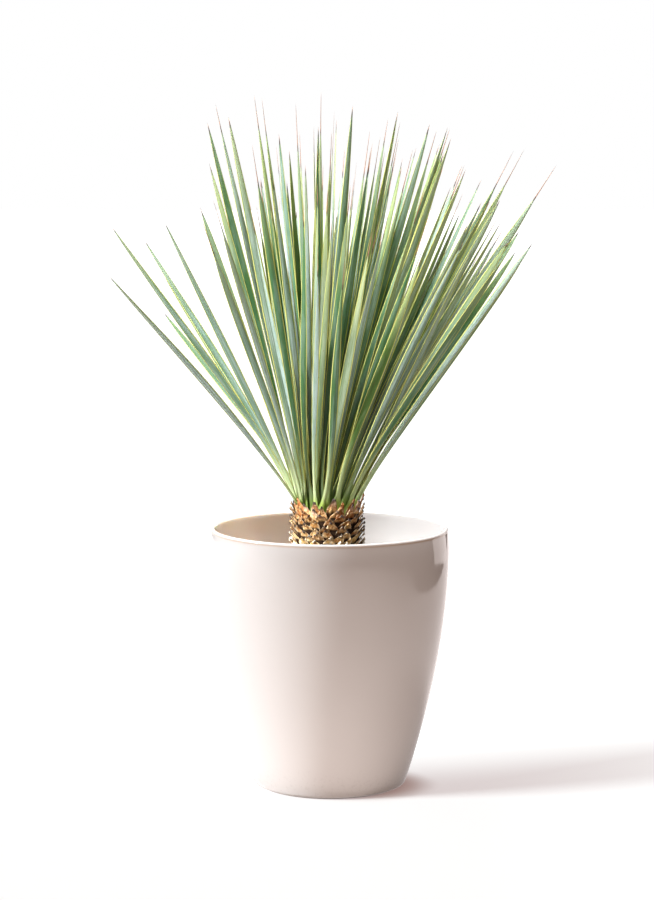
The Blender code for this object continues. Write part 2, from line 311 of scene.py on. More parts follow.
def lay_floor():
    """A pale floor with a painted contact shadow, painted glow and painted reflections."""
    half = FLOOR_SIZE / 2
    corners = [(-half, -half, 0.0), (half, -half, 0.0), (half, half, 0.0), (-half, half, 0.0)]
    finish = Finish("pale_floor", roughness=1.0, specular=0.0)
    finish.colour((0.43, 0.50, 0.505))
    # Painted contact shadow: beside the pot's foot the camera's white glow is dimmed to a warm grey.
    contact = finish.add("VectorMath", finish.place(), CONTACT_PLACE, operation="DISTANCE")
    contact_shade = finish.span(contact.outputs["Value"], 0.046, 0.092)
    parts = finish.add("SeparateXYZ", finish.place())
    # Painted shade: the glow is weaker and pinker in the shadow's band and before it, and grows again to
    # the right, so the band fades.
    cross = finish.add("VectorMath", finish.place(), SHADE_SIDE, operation="DOT_PRODUCT")
    band_shade_glow = finish.math("MAXIMUM", finish.span(cross.outputs["Value"], -0.07, 0.11),
                        finish.span(parts.outputs["X"], 0.14, 0.60, 0.0, 0.75))
    band_shade_glow = finish.mix(band_shade_glow, (0.600, 0.535, 0.537), (0.90, 0.89, 0.89))
    white = finish.add("Emission", finish.mix(contact_shade, (0.28, 0.18, 0.165), band_shade_glow), 1.0)
    lit = finish.add("AddShader", finish.shader.outputs[0], white.outputs[0])
    # Painted light: for bounced light, a patch of floor in front on the left glows, fading out at the
    # pot's foot.
    beyond = finish.add("VectorMath", finish.place(), operation="LENGTH").outputs["Value"]
    reach = finish.add("VectorMath", finish.place(), GLOW_PLACE, operation="DISTANCE").outputs["Value"]
    bounce_glow_strength = finish.math("MULTIPLY", finish.span(reach, GLOW_FADE, GLOW_REACH, 0.0, GLOW),
                       finish.span(beyond, 0.088, 0.125))
    painted_bounce_glow = finish.add("Emission", (0.97, 0.895, 0.86), bounce_glow_strength)
    paper = finish.add("BsdfDiffuse", (0.42, 0.375, 0.35))
    bounce = finish.add("AddShader", paper.outputs[0], painted_bounce_glow.outputs[0])
    # Painted reflection: gloss sees a bright table on the left, darker near the foot as painted shade, and
    # a bright panel far back on the right.
    side = finish.span(parts.outputs["Y"], -0.35, 0.05, 0.5, TABLE_SIDE)
    fade = finish.span(parts.outputs["Y"], -0.35, 0.05, 1.8, TABLE_SIDE + 0.05)
    table = finish.math("MULTIPLY", finish.span(parts.outputs["X"], side, fade, TABLE_SHINE, 0.0),
                        finish.span(parts.outputs["Y"], TABLE_FRONT - 1.6, TABLE_FRONT))
    table = finish.math("MULTIPLY", table,
                        finish.span(parts.outputs["Y"], TABLE_BACK + 0.1, TABLE_BACK))
    shaded = finish.add("VectorMath", finish.place(), FOOT_SHADE, operation="DISTANCE")
    table = finish.math("MULTIPLY", table, finish.span(shaded.outputs["Value"], 0.10, 0.34, 0.5, 1.0))
    sideways = finish.add("VectorMath", finish.place(), PANEL_SIDE, operation="DOT_PRODUCT")
    other_end = finish.add("VectorMath", finish.place(), PANEL_END, operation="DOT_PRODUCT")
    panel_reflection = finish.math("MULTIPLY", finish.span(sideways.outputs["Value"], 0.0, 0.04),
                        finish.span(other_end.outputs["Value"], 0.0, 0.1))
    panel_reflection = finish.math("MULTIPLY", panel_reflection,
                        finish.span(beyond, PANEL_START, PANEL_START + 0.05, 0.0, PANEL_SHINE))
    mirrored = finish.add("Emission", (1.0, 0.91, 0.89), finish.math("MAXIMUM", table, panel_reflection))
    path = finish.add("LightPath")
    unseen = finish.add("MixShader", path.outputs["Is Glossy Ray"], bounce.outputs[0],
                        mirrored.outputs[0])
    out = finish.tree.nodes["Material Output"]
    seen = camera_only(finish.tree, lit.outputs[0], unseen.outputs[0])
    finish.tree.links.new(seen, out.inputs["Surface"])
    floor = add_piece("floor", corners, [(0, 1, 2, 3)], finish.material)
    floor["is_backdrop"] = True
    return floor


def add_sun(name, azimuth, height, strength, angle, colour):
    """A lamp without a place, which lights everything from one side."""
    data = bpy.data.lights.new(name, "SUN")
    data.energy = strength
    data.angle = angle
    data.color = colour
    lamp = bpy.data.objects.new(name, data)
    way = Vector((math.sin(azimuth) * math.cos(height), -math.cos(azimuth) * math.cos(height),
                  math.sin(height)))
    lamp.rotation_euler = way.to_track_quat("Z", "Y").to_euler()
    scene.collection.objects.link(lamp)
    return lamp


light_world()
floor = lay_floor()
sun = add_sun("sun", SUN_AZIMUTH, SUN_HEIGHT, SUN_STRENGTH, SUN_ANGLE, (0.93, 1.0, 1.045))
scene.view_settings.view_transform = "Standard"
above_data = bpy.data.lights.new("soft_box", "AREA")
above_data.energy = 75.0
above_data.size = 0.6
above = bpy.data.objects.new("soft_box", above_data)
above.location = (0.0, 0.0, 2.5)
scene.collection.objects.link(above)
bounce_data = bpy.data.lights.new("wall_bounce", "AREA")
bounce_data.energy = 0.045
bounce_data.size = 0.05
bounce_data.color = (1.0, 0.80, 0.72)
bounce = bpy.data.objects.new("wall_bounce", bounce_data)
bounce.location = (0.06, -0.08, 0.300)
bounce.rotation_euler = (bounce.location - Vector((-0.06, 0.12, 0.285))).to_track_quat("Z", "Y").to_euler()
bounce.visible_camera = False
bounce.visible_glossy = False
scene.collection.objects.link(bounce)
print(f"sun: {math.degrees(SUN_HEIGHT):.0f} degrees up")

# %% [markdown]
# ## The pot
#
# It is a thin plastic cover pot, moulded in one piece. Such a form is round about its axis, so the
# quickest way is a lathe: draw half of its outline and spin it. The outline starts in the middle of
# the inside, climbs the wall, goes over a round lip and comes down outside to a round toe and a
# small inset foot. The plain solid has 48 sides. Ours has 192, so that gloss runs round it evenly.

# %% Turn the pot
POT_HEIGHT = 0.307
BELLY_RADIUS = 0.1408
BELLY_HEIGHT = 0.280
RIM_RADIUS = 0.1388
TOE_RADIUS = 0.0891
BELLY_POWER = 1.78
WALL = 0.003
POT_FLOOR = 0.006
TOE_ROUND = 0.004
FOOT_RADIUS = 0.0845
FOOT_HEIGHT = 0.002
POT_SIDES = 192
WALL_RINGS = 56
ROUND_STEPS = 8
LIP_INNER_ROUND = 0.001
LIP_FALL = 0.0024
LIP_OUT = 0.0003
GROOVE = 0.0032


def pot_radius(height):
    """The pot's outer radius at a height."""
    if height < BELLY_HEIGHT:
        fall = (1.0 - max(0.0, height) / BELLY_HEIGHT) ** BELLY_POWER
        return BELLY_RADIUS - (BELLY_RADIUS - TOE_RADIUS) * fall
    rise = (height - BELLY_HEIGHT) / (POT_HEIGHT - BELLY_HEIGHT)
    return BELLY_RADIUS - (BELLY_RADIUS - RIM_RADIUS) * rise ** 2


def pot_outline():
    """Half of the pot's section as (radius, height) points."""
    toe = FOOT_HEIGHT + TOE_ROUND
    inside_foot = POT_FLOOR + TOE_ROUND
    climb = [step / WALL_RINGS for step in range(WALL_RINGS + 1)]
    bends = [math.pi / 2 * step / ROUND_STEPS for step in range(ROUND_STEPS + 1)]
    outline = [(0.0, POT_FLOOR)]
    inner = pot_radius(inside_foot) - WALL - TOE_ROUND
    outline += [(inner + TOE_ROUND * math.sin(bend), inside_foot - TOE_ROUND * math.cos(bend))
                for bend in bends[:-1]]
    inner_top = POT_HEIGHT - LIP_INNER_ROUND
    heights = [inside_foot + (inner_top - inside_foot) * share for share in climb]
    outline += [(pot_radius(height) - WALL, height) for height in heights]
    crest = pot_radius(inner_top) - WALL + LIP_INNER_ROUND
    outline += [(crest - LIP_INNER_ROUND * math.cos(bend), inner_top + LIP_INNER_ROUND * math.sin(bend))
                for bend in bends[1:-1]]
    reach = pot_radius(POT_HEIGHT - LIP_FALL) + LIP_OUT - crest
    outline += [(crest + reach * math.sin(bend), POT_HEIGHT - LIP_FALL * (1.0 - math.cos(bend)))
                for bend in bends]
    outline += [(pot_radius(POT_HEIGHT - drop), POT_HEIGHT - drop) for drop in (GROOVE, GROOVE + 0.0012)]
    below = POT_HEIGHT - GROOVE - 0.0024
    outline += [(pot_radius(height), height)
                for height in (toe + (below - toe) * share for share in reversed(climb))]
    outer = pot_radius(toe) - TOE_ROUND
    outline += [(outer + TOE_ROUND * math.cos(bend), toe - TOE_ROUND * math.sin(bend))
                for bend in bends[1:]]
    outline += [(FOOT_RADIUS, FOOT_HEIGHT), (FOOT_RADIUS - 0.0004, 0.0003), (FOOT_RADIUS - 0.001, 0.0),
                (0.0, 0.0)]
    return outline


def spin_outline(outline, sides):
    """Points and faces of a form that is round about the upright axis."""
    points = []
    rings = []
    for radius, height in outline:
        if radius == 0.0:
            rings.append([len(points)] * sides)
            points.append((0.0, 0.0, height))
            continue
        rings.append(range(len(points), len(points) + sides))
        for side in range(sides):
            turn = math.tau * side / sides
            points.append((radius * math.cos(turn), radius * math.sin(turn), height))
    faces = []
    for below, above in zip(rings, rings[1:]):
        for side in range(sides):
            after = (side + 1) % sides
            corners = (below[side], above[side], above[after], below[after])
            faces.append(tuple(dict.fromkeys(corners)))
    return points, faces

# %% [markdown]
# ### Its finish
#
# Moulded plastic is one colour all through, here a warm white. What makes it look real is small: a
# skin that ripples very slightly, fine random scuffs that dull the gloss in patches, and a little
# dust towards the foot. Roughness and relief carry most of it, and the outside's colour hardly
# changes. The inside wall is painted light: lighter, warm on the left where light comes through the
# thin wall, and toned down on the right where the sun falls. Under the lip a warm brown band is
# painted shade.

# %% Finish the pot
def pot_finish():
    """Warm white gloss plastic, with painted light inside and painted shade under the lip."""
    finish = Finish("pot_gloss", roughness=0.2)
    place = finish.place()
    cloud = finish.noise(place, 9.0)
    dust = finish.noise(place, 260.0, detail=4.0)
    parts = finish.add("SeparateXYZ", place).outputs
    low = finish.span(parts[2], 0.0, 0.05, 1.0, 0.0)
    dusty = finish.math("MULTIPLY", low, finish.span(dust, 0.52, 0.72))
    body = finish.mix(cloud, (0.800, 0.755, 0.730), (0.825, 0.780, 0.755))
    # Painted light on the inside wall: lighter than the outside, warm on the left where light comes
    # through the wall, toned down on the right where the sun falls on it.
    warm = finish.span(finish.number("inside"), 0.0, 0.7)
    lit_inner_wall = finish.mix(warm, (0.97, 0.94, 0.92), (0.98, 0.76, 0.68))
    lit_inner_wall = finish.mix(finish.span(parts[0], 0.07, 0.12), lit_inner_wall, (0.87, 0.83, 0.81))
    body = finish.mix(finish.number("inner"), body, lit_inner_wall)
    # Painted shade under the lip, warm brown as light through the thin wall tints it.
    body = finish.mix(finish.number("under_lip"), body, (0.77, 0.60, 0.47))
    finish.colour(finish.mix(finish.math("MULTIPLY", dusty, 0.35), body, (0.62, 0.57, 0.54)))
    finish.feed(finish.shader.inputs["Subsurface Weight"], finish.number("inside"))
    finish.shader.inputs["Subsurface Radius"].default_value = (1.0, 0.78, 0.62)
    finish.shader.inputs["Subsurface Scale"].default_value = 0.012
    scuffs = finish.noise(place, 700.0, detail=2.0)
    patchy = finish.math("MULTIPLY", finish.span(cloud, 0.35, 0.7), scuffs)
    finish.roughness(finish.span(patchy, 0.1, 0.6, 0.05, 0.10))
    skin = finish.noise(place, 34.0, detail=1.0)
    finish.bump(finish.math("ADD", skin, finish.math("MULTIPLY", scuffs, 0.06)), 0.00007)
    return finish.material


half_section = pot_outline()
lip = max(range(len(half_section)), key=lambda point: half_section[point][1])
shell_points, shell_faces = spin_outline(half_section, POT_SIDES)
inner_points = 1 + (lip - 1) * POT_SIDES
# inside: strongest on the left of the inside wall; it sets the subsurface and the painted warm light
# through the wall.
inside = [0.8 * max(0.0, 0.06 - point[0] / BELLY_RADIUS) ** 0.22 if count < inner_points else 0.0
          for count, point in enumerate(shell_points)]
inner = [float(count < inner_points) for count in range(len(shell_points))]
# under_lip: the band under the lip that carries painted shade.
under_lip = [0.0 if count < inner_points else
             max(0.0, 1.0 - abs(point[2] - POT_HEIGHT + GROOVE) / 0.0014)
             for count, point in enumerate(shell_points)]
pot = add_piece("pot_shell", shell_points, shell_faces, pot_finish(),
                {"inside": inside, "inner": inner, "under_lip": under_lip})
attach(pot, "root")
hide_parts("pot")
print(f"pot: {len(pot.data.polygons)} faces")

# %% [markdown]
# ## The soil
#
# Potting mix is dark and crumbly, with bark chips and a few pale grains. It is two things here: a
# bed whose top is a fine grid pushed up and down by noise, and several hundred small lumps lying
# on it. Each lump is an eight-sided stone with its corners moved at random, which is cheap and
# reads as a crumb from any side.

# %% Lay the soil
SOIL_LEVEL = 0.245
SOIL_RIPPLE = 0.0015
RIPPLES_PER_METRE = 47.0
TRUNK_X = -0.003
TRUNK_RADIUS = 0.0375
GAP = 0.0003
BED_SIDES = 180
BED_RINGS = 44
CRUMBS = 2600
CRUMB_SEED = 5200


def soil_height(x, y):
    """The bed's top at a place: long ripples, with finer lumps added."""
    ripple = math.sin(RIPPLES_PER_METRE * x) * math.cos(RIPPLES_PER_METRE * y)
    lumps = noise.fractal(Vector((x, y, 0.3)) * 130.0, 1.0, 2.0, 4)
    return SOIL_LEVEL - 0.0012 + SOIL_RIPPLE * ripple * 0.6 + 0.0009 * lumps


def make_bed(material):
    """The soil's body: a grid on top, from the trunk's hole out to the wall, and its sides."""
    hole = TRUNK_RADIUS + GAP
    wall = pot_radius(SOIL_LEVEL) - WALL - GAP
    points = []
    for ring in range(BED_RINGS + 1):
        reach = hole + (wall - hole) * ring / BED_RINGS
        shift = TRUNK_X * (1.0 - ring / BED_RINGS)
        for side in range(BED_SIDES):
            turn = math.tau * side / BED_SIDES
            x = reach * math.cos(turn) + shift
            y = reach * math.sin(turn)
            points.append((x, y, soil_height(x, y)))
    for depth in (0.02, 0.08, 0.16, 0.232, 0.2385):
        height = SOIL_LEVEL - depth
        reach = pot_radius(height) - WALL - GAP
        if depth > 0.235:
            reach -= TOE_ROUND
        for side in range(BED_SIDES):
            turn = math.tau * side / BED_SIDES
            points.append((reach * math.cos(turn), reach * math.sin(turn), height))
    faces = []
    rings = len(points) // BED_SIDES
    for ring in range(rings - 1):
        for side in range(BED_SIDES):
            after = (side + 1) % BED_SIDES
            first = ring * BED_SIDES
            faces.append((first + side, first + BED_SIDES + side, first + BED_SIDES + after,
                          first + after))
    last = (rings - 1) * BED_SIDES
    faces.append(tuple(reversed(range(last, last + BED_SIDES))))
    return add_piece("soil_bed", points, faces, material)


def make_crumbs(material):
    """Chips and grains on the bed, each with its own tone."""
    draw = random.Random(CRUMB_SEED)
    stone = ((1, 0, 0), (0, 1, 0), (-1, 0, 0), (0, -1, 0), (0, 0, 1), (0, 0, -1))
    sides = ((0, 1, 4), (1, 2, 4), (2, 3, 4), (3, 0, 4), (1, 0, 5), (2, 1, 5), (3, 2, 5), (0, 3, 5))
    hole = TRUNK_RADIUS + 0.012
    wall = pot_radius(SOIL_LEVEL) - WALL - 0.006
    points, faces, tones = [], [], []
    for crumb in range(CRUMBS):
        reach = math.sqrt(draw.uniform(hole ** 2, wall ** 2))
        turn = draw.uniform(0.0, math.tau)
        x, y = reach * math.cos(turn), reach * math.sin(turn)
        size = draw.uniform(0.0009, 0.0024) * (1.0 if draw.random() < 0.88 else 1.7)
        stretch = Vector((draw.uniform(0.9, 1.9), draw.uniform(0.6, 1.1), draw.uniform(0.35, 0.7)))
        spin = Matrix.Rotation(draw.uniform(0.0, math.tau), 3, "Z")
        tone = draw.random()
        first = len(points)
        for corner in stone:
            shape = Vector(corner) * size * draw.uniform(0.7, 1.15)
            shape = spin @ Vector(shape[axis] * stretch[axis] for axis in range(3))
            points.append(tuple(Vector((x, y, soil_height(x, y) + size * 0.15)) + shape))
            tones.append(tone)
        faces += [tuple(first + corner for corner in side) for side in sides]
    return add_piece("soil_crumbs", points, faces, material, {"tone": tones})

# %% [markdown]
# ### Its finish
#
# Damp peat is almost black, dry crumbs are brown, and one grain in twelve is pale grit. The crumbs
# carry a random number called tone, which the material turns into one of those colours.

# %% Finish the soil
def soil_finish(name, with_tone):
    """Dark potting mix. With tones, each lump gets a colour of its own."""
    finish = Finish(name, roughness=0.95, specular=0.2)
    place = finish.place()
    coarse = finish.noise(place, 90.0, detail=5.0)
    fine = finish.noise(place, 900.0, detail=3.0)
    peat = finish.mix(finish.span(coarse, 0.35, 0.65), (0.022, 0.014, 0.010), (0.115, 0.068, 0.041))
    if with_tone:
        tone = finish.number("tone")
        bark = finish.mix(finish.span(tone, 0.45, 0.85), peat, (0.30, 0.165, 0.090))
        grit = finish.mix(fine, (0.52, 0.49, 0.43), (0.72, 0.69, 0.62))
        peat = finish.mix(finish.span(tone, 0.918, 0.922), bark, grit)
    finish.colour(finish.mix(finish.span(fine, 0.3, 0.75, 0.0, 0.5), peat, (0.16, 0.10, 0.065)))
    finish.roughness(finish.span(fine, 0.3, 0.7, 0.82, 1.0))
    finish.bump(fine, 0.0006)
    return finish.material


bed = make_bed(soil_finish("potting_mix", False))
crumbs = make_crumbs(soil_finish("bark_and_grit", True))
for piece in (bed, crumbs):
    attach(piece, "root")
    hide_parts("soil")
print(f"soil: {len(bed.data.polygons)} faces in the bed, {CRUMBS} crumbs on it")

# %% [markdown]
# ## The trunk
#
# A yucca's trunk is wrapped in the bases of the leaves that were cut off as it grew. Each is a
# curved plate, wide where it grips the trunk and cut short and ragged at its top. They follow the
# spiral that most plants use: each new leaf stands 137.5 degrees further round than the last. One
# short rule then places them all, and no two end up in line.
#
# Each plate is a small grid, bent round the trunk, with a front and a back. Its numbers tell the
# material how far along it we are, how far from its middle, and which plate it is.

# %% Shape the old leaf bases
GOLDEN_ANGLE = math.radians(137.508)
TRUNK_FOOT = 0.190
TRUNK_TOP = 0.322
SCALES = 236
TOP_SCALES = 30
SCALE_SEED = 4100
FIRST_TIP = 0.2505
LAST_TIP = 0.3470
SCALE_REACH = 0.0452
SCALE_ROOT = 0.0350
SCALE_SIDES = 10
SCALE_STEPS = 9
SCALE_GROUPS = 4
SCALE_OUTLINE = ((0.0, 0.75), (0.32, 1.0), (0.58, 0.92), (0.78, 0.66), (0.90, 0.38), (1.0, 0.17))
TOP_OUTLINE = ((0.0, 0.85), (0.35, 1.0), (0.60, 0.86), (0.78, 0.58), (0.9, 0.36), (1.0, 0.24))


def scale_plate(number):
    """Points of one plate as rings, from its root to its cut end, and its facts."""
    draw = random.Random(SCALE_SEED + number)
    share = number / (SCALES - 1)
    top = number >= SCALES - TOP_SCALES
    turn = number * GOLDEN_ANGLE + draw.uniform(-0.10, 0.10)
    width = draw.uniform(0.0130, 0.0165) * (0.86 if top else 1.0)
    length = draw.uniform(0.024, 0.027) if top else draw.uniform(0.0125, 0.0165)
    thick = draw.uniform(0.0009, 0.0015)
    tip_height = FIRST_TIP + share * (LAST_TIP - FIRST_TIP) + draw.uniform(-0.0012, 0.0005)
    reach = SCALE_REACH - draw.uniform(0.0, 0.0020) - (0.001 if top else 0.0)
    lean = draw.uniform(-0.14, 0.14)
    cut = draw.uniform(-0.0020, 0.0020)
    outline = TOP_OUTLINE if top else SCALE_OUTLINE
    rings = []
    for step in range(SCALE_STEPS + 1):
        place = step / SCALE_STEPS
        flare = SCALE_ROOT + (reach - SCALE_ROOT) * place ** 1.35
        height = tip_height - length * (1.0 - place)
        half = width / 2 * along(outline, place)
        depth = thick / 2 * (1.0 - 0.2 * place)
        ring = []
        for layer in (1.0, -1.0):
            for side in range(SCALE_SIDES + 1):
                across = (side / SCALE_SIDES * 2.0 - 1.0) * layer
                around = turn + lean * place + across * half / flare
                crown = 1.0 - abs(across) ** 1.5
                edge = 0.15 + 0.85 * crown
                crease = noise.noise(Vector((across * 2.3, place * 2.0, number * 3.7)))
                radius = flare + layer * depth * edge + crown * 0.0003 + crease * 0.0013
                ragged = 0.0
                if step == SCALE_STEPS:
                    ragged = cut * across + 0.0016 * noise.noise(Vector((across * 3.1, number, 0.0)))
                    ragged -= 0.0011 * (layer + 1.0)
                ring.append((Vector((radius * math.cos(around) + TRUNK_X, radius * math.sin(around),
                                     height + ragged - 0.0012 * across ** 2)), across, place))
        rings.append(ring)
    return rings, draw.random(), share


def fit_cell(mesh, cells, columns, rows):
    """Lays each plate's faces in a cell of its own on the map that colours are baked to."""
    layer = mesh.uv_layers.new(name="OFBake")
    for face, corners in zip(mesh.polygons, cells):
        for loop, (cell, u, v) in zip(face.loop_indices, corners):
            column, row = cell % columns, cell // columns
            layer.data[loop].uv = ((column + 0.04 + 0.92 * u) / columns,
                                   (row + 0.04 + 0.92 * v) / rows)


def make_scales(group, material):
    """Every plate of one group as one piece."""
    points, faces, cells = [], [], []
    numbers = {"along": [], "across": [], "tone": [], "age": [], "back": []}
    columns = 8
    chosen = range(group, SCALES, SCALE_GROUPS)
    for cell, number in enumerate(chosen):
        rings, tone, share = scale_plate(number)
        first = len(points)
        count = len(rings[0])
        for ring in rings:
            for spot, (point, across, place) in enumerate(ring):
                points.append(tuple(point))
                numbers["back"].append(float(spot > SCALE_SIDES))
                numbers["along"].append(place)
                numbers["across"].append(across)
                numbers["tone"].append(tone)
                numbers["age"].append(share)
        for step in range(SCALE_STEPS):
            for corner in range(count):
                after = (corner + 1) % count
                low = first + step * count
                faces.append((low + corner, low + after, low + count + after, low + count + corner))
                left = corner / count
                right = (corner + 1) / count
                bottom = 0.86 * step / SCALE_STEPS
                top = 0.86 * (step + 1) / SCALE_STEPS
                cells.append(((cell, left, bottom), (cell, right, bottom), (cell, right, top),
                              (cell, left, top)))
        last = first + SCALE_STEPS * count
        for corner in range(SCALE_SIDES):
            back = count - 1 - corner
            faces.append((last + corner, last + corner + 1, last + back - 1, last + back))
            left, right = corner / SCALE_SIDES, (corner + 1) / SCALE_SIDES
            cells.append(((cell, left, 0.9), (cell, right, 0.9), (cell, right, 1.0),
                          (cell, left, 1.0)))
    piece = add_piece(f"old_leaf_bases_{group + 1}", points, faces, material, numbers)
    fit_cell(piece.data, cells, columns, math.ceil(len(chosen) / columns))
    return piece

# %% [markdown]
# ### Their finish
#
# The lowest plates are the oldest and have dried to cream and straw. Higher up they are
# golden-brown, and the newest at the top are pinkish-brown. All are ribbed lengthwise, paler along
# their thin edges and dark grey where the knife went through. Their roots are painted nearly black,
# as painted shade in the gaps between them, and their backs dark brown, partly stain and partly
# painted shade.

# %% Finish the old leaf bases
def scale_finish():
    """Dry leaf bases, from straw below to red-brown above."""
    finish = Finish("dry_leaf_bases", roughness=0.75, specular=0.12)
    rise, across = finish.number("along"), finish.number("across")
    tone, age = finish.number("tone"), finish.number("age")
    place = finish.place()
    cloud = finish.noise(place, 240.0, detail=5.0, roughness=0.65)
    ribs = finish.noise(finish.vector(finish.math("MULTIPLY", across, 7.0),
                                      finish.math("MULTIPLY", rise, 1.6),
                                      finish.math("MULTIPLY", tone, 80.0)), 1.7, detail=3.0)
    mottle = finish.span(finish.math("ADD", cloud, finish.span(tone, 0.0, 1.0, -0.12, 0.12)), 0.36, 0.64)
    straw = finish.mix(mottle, (0.76, 0.46, 0.15), (0.97, 0.85, 0.58))
    gold = finish.mix(mottle, (0.34, 0.115, 0.028), (0.88, 0.57, 0.25))
    pink = finish.mix(mottle, (0.28, 0.135, 0.075), (0.62, 0.42, 0.31))
    wander = finish.math("ADD", age, finish.math("MULTIPLY", finish.math("SUBTRACT", tone, 0.5), 0.4))
    body = finish.mix(finish.span(wander, 0.38, 0.70), straw, gold)
    newest = finish.math("MULTIPLY", finish.span(wander, 0.84, 1.0), finish.span(rise, 0.45, 0.85))
    body = finish.mix(newest, body, pink)
    body = finish.mix(finish.span(ribs, 0.48, 0.68, 0.0, 0.60), body, (0.12, 0.050, 0.018))
    edge = finish.math("POWER", finish.math("ABSOLUTE", across), 3.5)
    pale = finish.math("MULTIPLY", edge, finish.span(cloud, 0.36, 0.56))
    body = finish.mix(finish.math("MULTIPLY", pale, finish.span(age, 0.95, 0.6, 0.35, 0.8)), body,
                      (0.93, 0.82, 0.58))
    fleck = finish.span(finish.noise(place, 480.0, detail=2.0), 0.59, 0.65)
    old = finish.span(age, 0.85, 0.35)
    body = finish.mix(finish.math("MULTIPLY", fleck, old), body, (0.90, 0.84, 0.72))
    # Painted shade: the roots of the plates are painted nearly black, more on the higher plates, for the
    # shade in the gaps between them.
    root = finish.math("MULTIPLY", finish.span(rise, 0.54, 0.26), finish.span(age, 0.28, 0.68, 0.35, 0.95))
    body = finish.mix(root, body, (0.012, 0.006, 0.003))
    # Painted shade with some stain: the backs of the plates are painted dark brown.
    body = finish.mix(finish.math("MULTIPLY", finish.number("back"), 0.75), body,
                      (0.10, 0.045, 0.018))
    ragged = finish.math("ADD", rise, finish.math("MULTIPLY", cloud, 0.22))
    ragged = finish.math("ADD", ragged, finish.span(age, 0.60, 0.35, 0.0, 0.05))
    cut = finish.math("MULTIPLY", finish.span(ragged, 1.03, 1.08), finish.span(tone, 0.20, 0.4))
    face = finish.mix(finish.span(age, 0.45, 0.62), (0.86, 0.79, 0.66), (0.050, 0.042, 0.042))
    finish.colour(finish.mix(finish.math("MULTIPLY", cut, 0.9), body, face))
    finish.roughness(finish.span(cloud, 0.3, 0.7, 0.62, 0.92))
    finish.bump(finish.math("ADD", ribs, finish.math("MULTIPLY", cloud, 0.5)), 0.0006)
    return finish.material


def core_finish():
    """The trunk's core, painted near black as painted shade, since it is seen only in the gaps."""
    finish = Finish("trunk_core", roughness=0.95, specular=0.05)
    place = finish.place()
    bark = finish.noise(place, 180.0, detail=5.0)
    finish.colour(finish.mix(bark, (0.005, 0.003, 0.002), (0.024, 0.012, 0.006)))
    finish.bump(bark, 0.001)
    return finish.material


def make_core(name, outline, material, sides=64):
    """A turned form on the trunk's axis."""
    points, faces = spin_outline(outline, sides)
    points = [(x + TRUNK_X, y, z) for x, y, z in points]
    return add_piece(name, points, faces, material)


core = make_core("trunk_core", [(0.0, TRUNK_FOOT), (TRUNK_RADIUS, TRUNK_FOOT),
                                (TRUNK_RADIUS, TRUNK_TOP), (0.0, TRUNK_TOP)], core_finish())
dry = scale_finish()
trunk_pieces = [core] + [make_scales(group, dry) for group in range(SCALE_GROUPS)]
for piece in trunk_pieces:
    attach(piece, "root")
    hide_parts("trunk")
print(f"trunk: {SCALES} old leaf bases")

# %% [markdown]
# ## The crown
#
# The leaves are stiff, narrow and almost straight. The youngest stand in the middle and the oldest
# lean out at the edge, all set on the same spiral as the plates below. The plain solid was grown by
# a rule, and we repeat it here with the same random numbers, so each fine leaf lies exactly where
# its plain one does: 108 leaves of the spiral, six strays on the left and thirty that stand out
# round the head.

# %% Place the leaves
SEAT = TRUNK_TOP + GAP
HEART_RADIUS = 0.0290
HEART_SIDE = 0.004
HEART_RISE = 0.022
LEAF_RING_RADIUS = 0.0340
LEAF_RING_RISE = 0.005
LEAF_DOME_RISE = 0.029
RULE_LEAVES = 108
LEAF_SEED = 7300
HEAD_LEAN = math.radians(9.0)
SIDE_SPREAD = math.radians(27.0)
BACK_SPREAD = math.radians(33.0)
INNER_LEAF = 0.455
OUTER_LEAF = 0.375
LENGTH_JITTER = 0.06
TURN_JITTER = 0.15
LEAST_SPREAD = 0.90
MOST_SPREAD = 1.04
FIRST_HANDLE = 0.12
UPRIGHT_START = 1.3
SECOND_HANDLE = 0.62
BOW = 0.03
BEST_SIDE = Vector((0.0, -1.0, 0.0))
RULE_FACING = 0.8
EDGE_FACING = 0.85
FACING_DONE = 0.5
STRAY_TIPS = (
    (-0.246, -0.14, 0.610), (-0.250, -0.05, 0.662), (-0.223, 0.10, 0.641),
    (-0.186, -0.10, 0.668), (-0.204, 0.16, 0.550), (-0.200, 0.12, 0.596),
)
EDGE_TIPS = (
    (-0.143, -0.14, 0.674), (-0.154, 0.06, 0.682), (-0.129, -0.16, 0.696),
    (-0.138, -0.05, 0.735), (-0.145, 0.06, 0.782), (-0.131, -0.04, 0.802),
    (-0.114, -0.10, 0.787), (-0.086, -0.15, 0.756), (-0.087, -0.03, 0.813),
    (-0.081, 0.08, 0.812), (-0.039, -0.05, 0.803), (-0.010, -0.05, 0.816),
    (0.026, -0.06, 0.800), (0.069, 0.06, 0.787), (0.078, -0.04, 0.794),
    (0.085, 0.12, 0.784), (0.136, -0.02, 0.776), (0.142, 0.06, 0.775),
    (0.136, -0.10, 0.763), (0.163, 0.12, 0.732), (0.210, -0.05, 0.749),
    (0.230, 0.05, 0.751), (0.262, -0.02, 0.733), (0.190, -0.12, 0.694),
    (0.232, 0.15, 0.651), (0.227, -0.12, 0.646), (0.222, -0.05, 0.626),
    (0.188, -0.17, 0.626), (0.195, -0.18, 0.649), (0.227, 0.14, 0.626),
)


